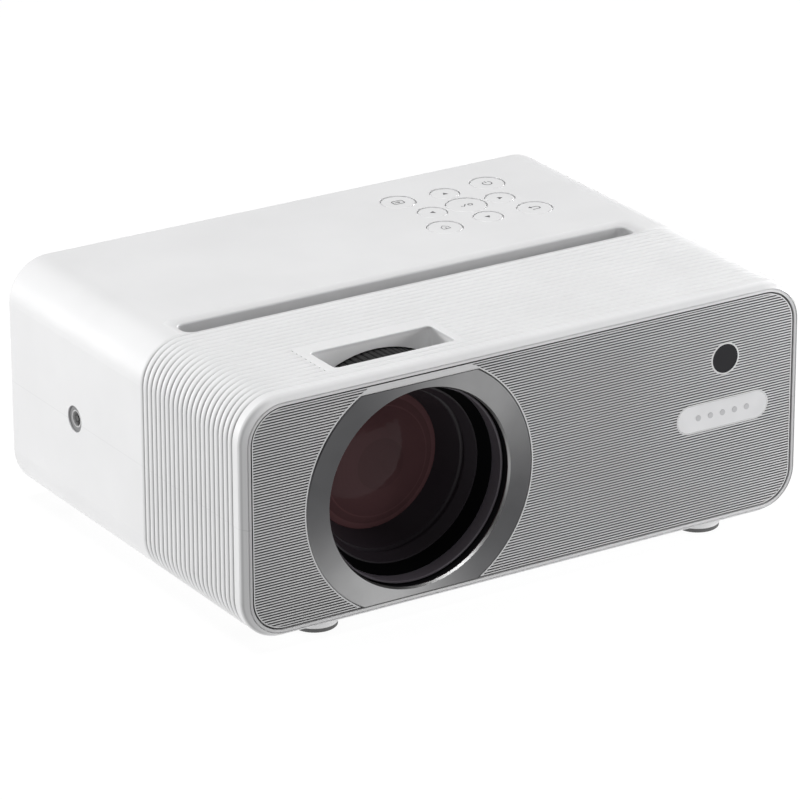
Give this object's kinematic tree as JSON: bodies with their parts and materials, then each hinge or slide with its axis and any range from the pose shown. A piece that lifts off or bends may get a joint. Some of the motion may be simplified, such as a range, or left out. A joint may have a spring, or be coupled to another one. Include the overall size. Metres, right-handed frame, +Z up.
{
  "type": "home projector",
  "caption": "Box-shaped home projector with a ridged white shell, ribbed grey front, large recessed focusing lens, stand slot and round control keys on top.",
  "frame": {"origin": "under the middle of the body, on the plane the rubber feet stand on", "axes": "+X to the viewer's right when facing the lens side, +Y from the lens side to the back, +Z up"},
  "size_m": [0.23, 0.165, 0.092],
  "materials": {
    "white_shell": "fine matt texture",
    "white_keys": "fine matt texture with pale grey symbols",
    "grey_panel": "satin grey, fine level ribs",
    "spun_metal": "satin, turned round the lens axis",
    "dark_window": "gloss, infrared-passing",
    "badge_metal": "satin",
    "black_plastic": "matt black",
    "black_grip": "matt black, knurled",
    "lens_glass": "coated optical glass",
    "clear_plastic": "clear optical acrylic",
    "lcd_glass": "liquid crystal panel",
    "sink_metal": "plain extruded",
    "led_yellow": "phosphor",
    "circuit_board": "green solder mask",
    "steel": "bright",
    "speaker_paper": "pressed paper",
    "foot_rubber": "matt",
    "brass": "turned"
  },
  "bodies": {
    "case": {"top_shell": "white_shell", "bottom_shell": "white_shell", "rear_cover": "white_shell", "front_panel": "grey_panel", "lens_trim_ring": "spun_metal", "ir_window": "dark_window", "ir_receiver": "black_plastic", "badge_plate": "badge_metal", "guide_tube": "black_plastic", "focus_stop": "black_plastic", "engine_housing": "black_plastic", "front_fresnel": "clear_plastic", "lcd_panel": "lcd_glass", "rear_fresnel": "clear_plastic", "heat_glass": "clear_plastic", "led_board": "sink_metal", "led_emitter": "led_yellow", "condenser_holder": "black_plastic", "condenser_lens": "clear_plastic", "heat_sink": "sink_metal", "fan_frame": "black_plastic", "keypad_board": "circuit_board", "key_switches": "black_plastic", "main_board": "circuit_board", "board_parts": "black_plastic", "hdmi_socket": "steel", "usb_socket": "steel", "av_jack": "black_plastic", "dc_jack": "black_plastic", "dc_pin": "steel", "speaker_frame": "steel", "speaker_cone": "speaker_paper", "foot_bodies": "white_shell", "foot_pads": "foot_rubber", "tripod_insert": "brass", "shell_screws": "steel", "rear_screws": "steel", "fan_screws": "steel", "guide_screws": "steel", "engine_screws": "steel", "board_screws": "steel", "keypad_screws": "steel"},
    "focus_dial": {"focus_ring": "black_grip"},
    "lens_unit": {"lens_barrel": "black_plastic", "lens_baffle": "black_plastic", "lens_retaining_ring": "black_plastic", "front_lens": "lens_glass", "rear_lens": "lens_glass", "drive_pin": "steel"},
    "fan_wheel": {"fan_rotor": "black_plastic"},
    "button_ok": {"key_ok": "white_keys"},
    "button_up": {"key_up": "white_keys"},
    "button_down": {"key_down": "white_keys"},
    "button_left": {"key_left": "white_keys"},
    "button_right": {"key_right": "white_keys"},
    "button_power": {"key_power": "white_keys"},
    "button_source": {"key_source": "white_keys"},
    "button_back": {"key_back": "white_keys"},
    "button_menu": {"key_menu": "white_keys"}
  },
  "joints": [
    {"name": "focus_turn", "type": "hinge", "parent": "case", "child": "focus_dial", "pos_m": [-0.0447, -0.0585, 0.0466], "axis": [0, 1, 0], "range_deg": [-20, 90]},
    {"name": "lens_travel", "type": "slide", "parent": "case", "child": "lens_unit", "axis": [0, 1, 0], "range_m": [-0.00133, 0.006]},
    {"name": "fan_spin", "type": "hinge", "parent": "case", "child": "fan_wheel", "pos_m": [-0.0447, 0.072, 0.0466], "axis": [0, 1, 0], "continuous": true},
    {"name": "press_ok", "type": "slide", "parent": "case", "child": "button_ok", "axis": [0, 0, -1], "range_m": [0, 0.0005], "stiffness_N_per_m": 400, "springref_m": -0.0005},
    {"name": "press_up", "type": "slide", "parent": "case", "child": "button_up", "axis": [0, 0, -1], "range_m": [0, 0.0005], "stiffness_N_per_m": 400, "springref_m": -0.0005},
    {"name": "press_down", "type": "slide", "parent": "case", "child": "button_down", "axis": [0, 0, -1], "range_m": [0, 0.0005], "stiffness_N_per_m": 400, "springref_m": -0.0005},
    {"name": "press_left", "type": "slide", "parent": "case", "child": "button_left", "axis": [0, 0, -1], "range_m": [0, 0.0005], "stiffness_N_per_m": 400, "springref_m": -0.0005},
    {"name": "press_right", "type": "slide", "parent": "case", "child": "button_right", "axis": [0, 0, -1], "range_m": [0, 0.0005], "stiffness_N_per_m": 400, "springref_m": -0.0005},
    {"name": "press_power", "type": "slide", "parent": "case", "child": "button_power", "axis": [0, 0, -1], "range_m": [0, 0.0005], "stiffness_N_per_m": 400, "springref_m": -0.0005},
    {"name": "press_source", "type": "slide", "parent": "case", "child": "button_source", "axis": [0, 0, -1], "range_m": [0, 0.0005], "stiffness_N_per_m": 400, "springref_m": -0.0005},
    {"name": "press_back", "type": "slide", "parent": "case", "child": "button_back", "axis": [0, 0, -1], "range_m": [0, 0.0005], "stiffness_N_per_m": 400, "springref_m": -0.0005},
    {"name": "press_menu", "type": "slide", "parent": "case", "child": "button_menu", "axis": [0, 0, -1], "range_m": [0, 0.0005], "stiffness_N_per_m": 400, "springref_m": -0.0005}
  ],
  "couplings": [
    {"joint": "focus_turn", "follows": "lens_travel", "rad_per_m": 261.8}
  ]
}
